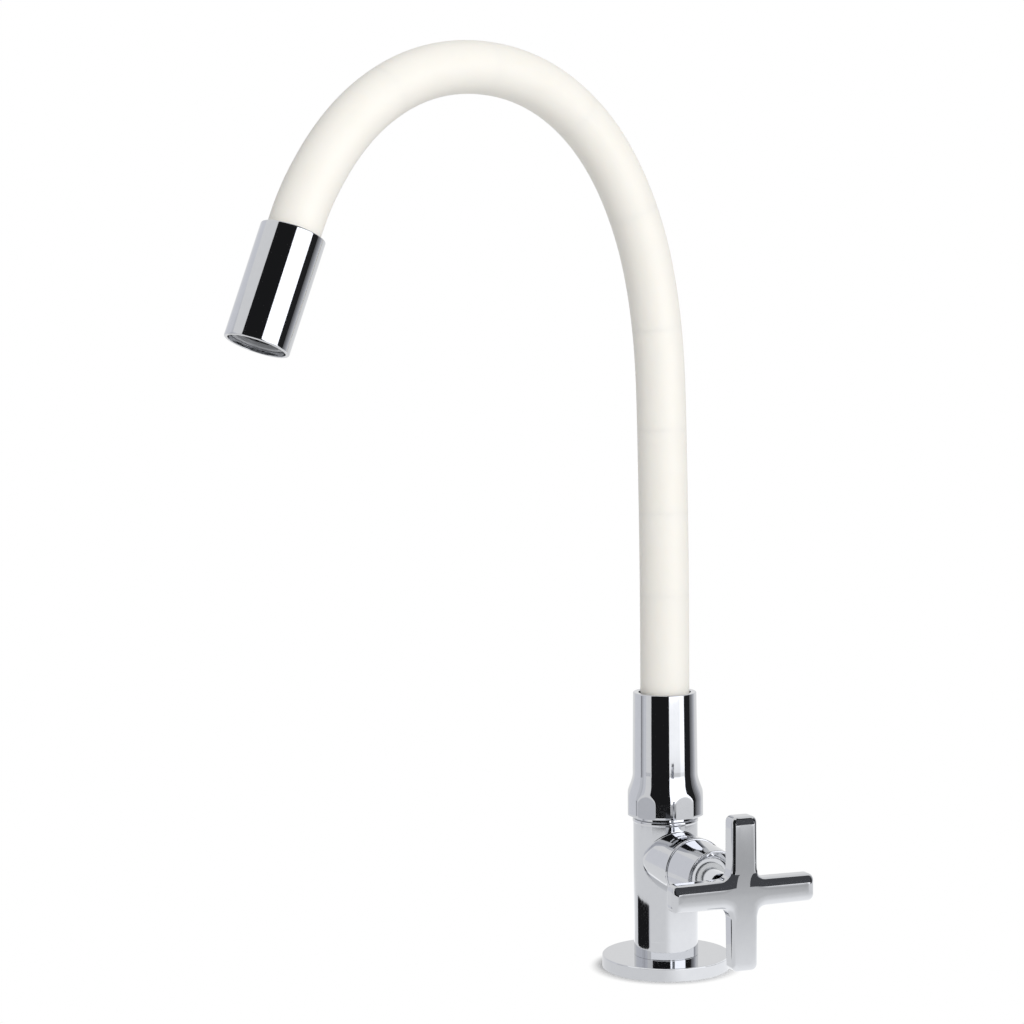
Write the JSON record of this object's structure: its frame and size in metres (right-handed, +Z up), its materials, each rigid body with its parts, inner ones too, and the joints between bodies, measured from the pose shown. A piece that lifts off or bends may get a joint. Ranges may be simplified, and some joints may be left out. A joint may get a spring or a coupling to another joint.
{
  "type": "flexible kitchen faucet",
  "caption": "Deck-mounted kitchen tap with a bendable sleeved gooseneck spout, a side valve with a cross handle, a coupling nut and an aerated outlet.",
  "frame": {"origin": "where the tap's axis meets the worktop, at the middle of the base flange's underside", "axes": "+Z up along the tap's axis, -Y the way the spout reaches, +X to the right of the spout; the valve branch leaves 18.4 degrees from +X towards -Y"},
  "size_m": [0.1014, 0.2215, 0.4012],
  "materials": {
    "chrome": "polished chrome plate on brass",
    "brass": "machined, bare",
    "steel": "plain stainless steel",
    "silicone": "satin off-white silicone",
    "rubber": "matt black seal rubber",
    "nylon": "natural nylon",
    "grey_plastic": "moulded grey plastic",
    "ceramic": "lapped white ceramic"
  },
  "bodies": {
    "tap_body": {"base_flange": "chrome", "flange_gasket": "rubber", "inlet_shank": "brass", "deck_rubber_washer": "rubber", "deck_steel_washer": "steel", "fixing_nut": "brass", "valve_body": "chrome", "bonnet": "chrome", "bonnet_lock_nut": "chrome", "cartridge_body": "chrome", "cartridge_seat_seal": "rubber", "fixed_ceramic_disc": "ceramic", "coupling_nut": "chrome", "slip_washer": "nylon"},
    "valve_handle": {"cross_handle": "chrome", "handle_grub_screw": "steel", "cartridge_stem": "chrome", "moving_ceramic_disc": "ceramic", "stem_o_ring": "rubber", "stem_retaining_clip": "steel"},
    "spout_base": {"spout_nipple": "brass", "nipple_o_ring_0": "rubber", "nipple_o_ring_1": "rubber", "hose_crimp_ring": "steel", "hose_sleeve_0": "silicone", "gooseneck_core_0": "steel", "water_tube_0": "nylon"},
    "hose_1": {"hose_sleeve_1": "silicone", "gooseneck_core_1": "steel", "water_tube_1": "nylon"},
    "hose_2": {"hose_sleeve_2": "silicone", "gooseneck_core_2": "steel", "water_tube_2": "nylon"},
    "hose_3": {"hose_sleeve_3": "silicone", "gooseneck_core_3": "steel", "water_tube_3": "nylon"},
    "hose_4": {"hose_sleeve_4": "silicone", "gooseneck_core_4": "steel", "water_tube_4": "nylon"},
    "hose_5": {"hose_sleeve_5": "silicone", "gooseneck_core_5": "steel", "water_tube_5": "nylon"},
    "hose_6": {"hose_sleeve_6": "silicone", "gooseneck_core_6": "steel", "water_tube_6": "nylon"},
    "hose_7": {"hose_sleeve_7": "silicone", "gooseneck_core_7": "steel", "water_tube_7": "nylon"},
    "hose_8": {"hose_sleeve_8": "silicone", "gooseneck_core_8": "steel", "water_tube_8": "nylon"},
    "hose_9": {"hose_sleeve_9": "silicone", "gooseneck_core_9": "steel", "water_tube_9": "nylon", "outlet_sleeve": "chrome", "outlet_adapter": "brass", "aerator_gasket": "rubber", "aerator_housing": "grey_plastic", "aerator_jet_former": "grey_plastic", "aerator_screen": "steel"}
  },
  "joints": [
    {"name": "handle_turn", "type": "hinge", "parent": "tap_body", "child": "valve_handle", "pos_m": [0, 0, 0.0432], "axis": [0.9489, -0.3156, 0], "range_deg": [0, 90]},
    {"name": "spout_swivel", "type": "hinge", "parent": "tap_body", "child": "spout_base", "pos_m": [0, 0, 0.09], "axis": [0, 0, 1], "continuous": true},
    {"name": "spout_lean", "type": "hinge", "parent": "spout_base", "child": "hose_1", "pos_m": [0, 0, 0.13], "axis": [1, 0, 0], "range_deg": [-15, 15]},
    {"name": "spout_sway", "type": "hinge", "parent": "hose_1", "child": "hose_2", "pos_m": [0, -0.00018, 0.162], "axis": [0, 1, 0], "range_deg": [-20, 20]},
    {"name": "spout_lean_upper", "type": "hinge", "parent": "hose_2", "child": "hose_3", "pos_m": [0, -0.00075, 0.19399], "axis": [1, 0, 0], "range_deg": [-15, 15]},
    {"name": "spout_curl", "type": "hinge", "parent": "hose_3", "child": "hose_4", "pos_m": [0, -0.00153, 0.22598], "axis": [1, 0, 0], "range_deg": [-12, 4]},
    {"name": "spout_curl_2", "type": "hinge", "parent": "hose_4", "child": "hose_5", "pos_m": [0, -0.00755, 0.27144], "axis": [1, 0, 0], "range_deg": [-19.2, 6.4]},
    {"name": "spout_curl_3", "type": "hinge", "parent": "hose_5", "child": "hose_6", "pos_m": [0, -0.02699, 0.31261], "axis": [1, 0, 0], "range_deg": [-24, 8]},
    {"name": "spout_curl_4", "type": "hinge", "parent": "hose_6", "child": "hose_7", "pos_m": [0, -0.06336, 0.33891], "axis": [1, 0, 0], "range_deg": [-24, 8]},
    {"name": "spout_curl_5", "type": "hinge", "parent": "hose_7", "child": "hose_8", "pos_m": [0, -0.10845, 0.3408], "axis": [1, 0, 0], "range_deg": [-24, 8]},
    {"name": "spout_curl_6", "type": "hinge", "parent": "hose_8", "child": "hose_9", "pos_m": [0, -0.1474, 0.31829], "axis": [1, 0, 0], "range_deg": [-24, 8]}
  ],
  "couplings": [
    {"joint": "spout_lean_upper", "follows": "spout_lean", "ratio": 1},
    {"joint": "spout_curl_2", "follows": "spout_curl", "ratio": 1.6},
    {"joint": "spout_curl_3", "follows": "spout_curl", "ratio": 2},
    {"joint": "spout_curl_4", "follows": "spout_curl", "ratio": 2},
    {"joint": "spout_curl_5", "follows": "spout_curl", "ratio": 2},
    {"joint": "spout_curl_6", "follows": "spout_curl", "ratio": 2}
  ]
}
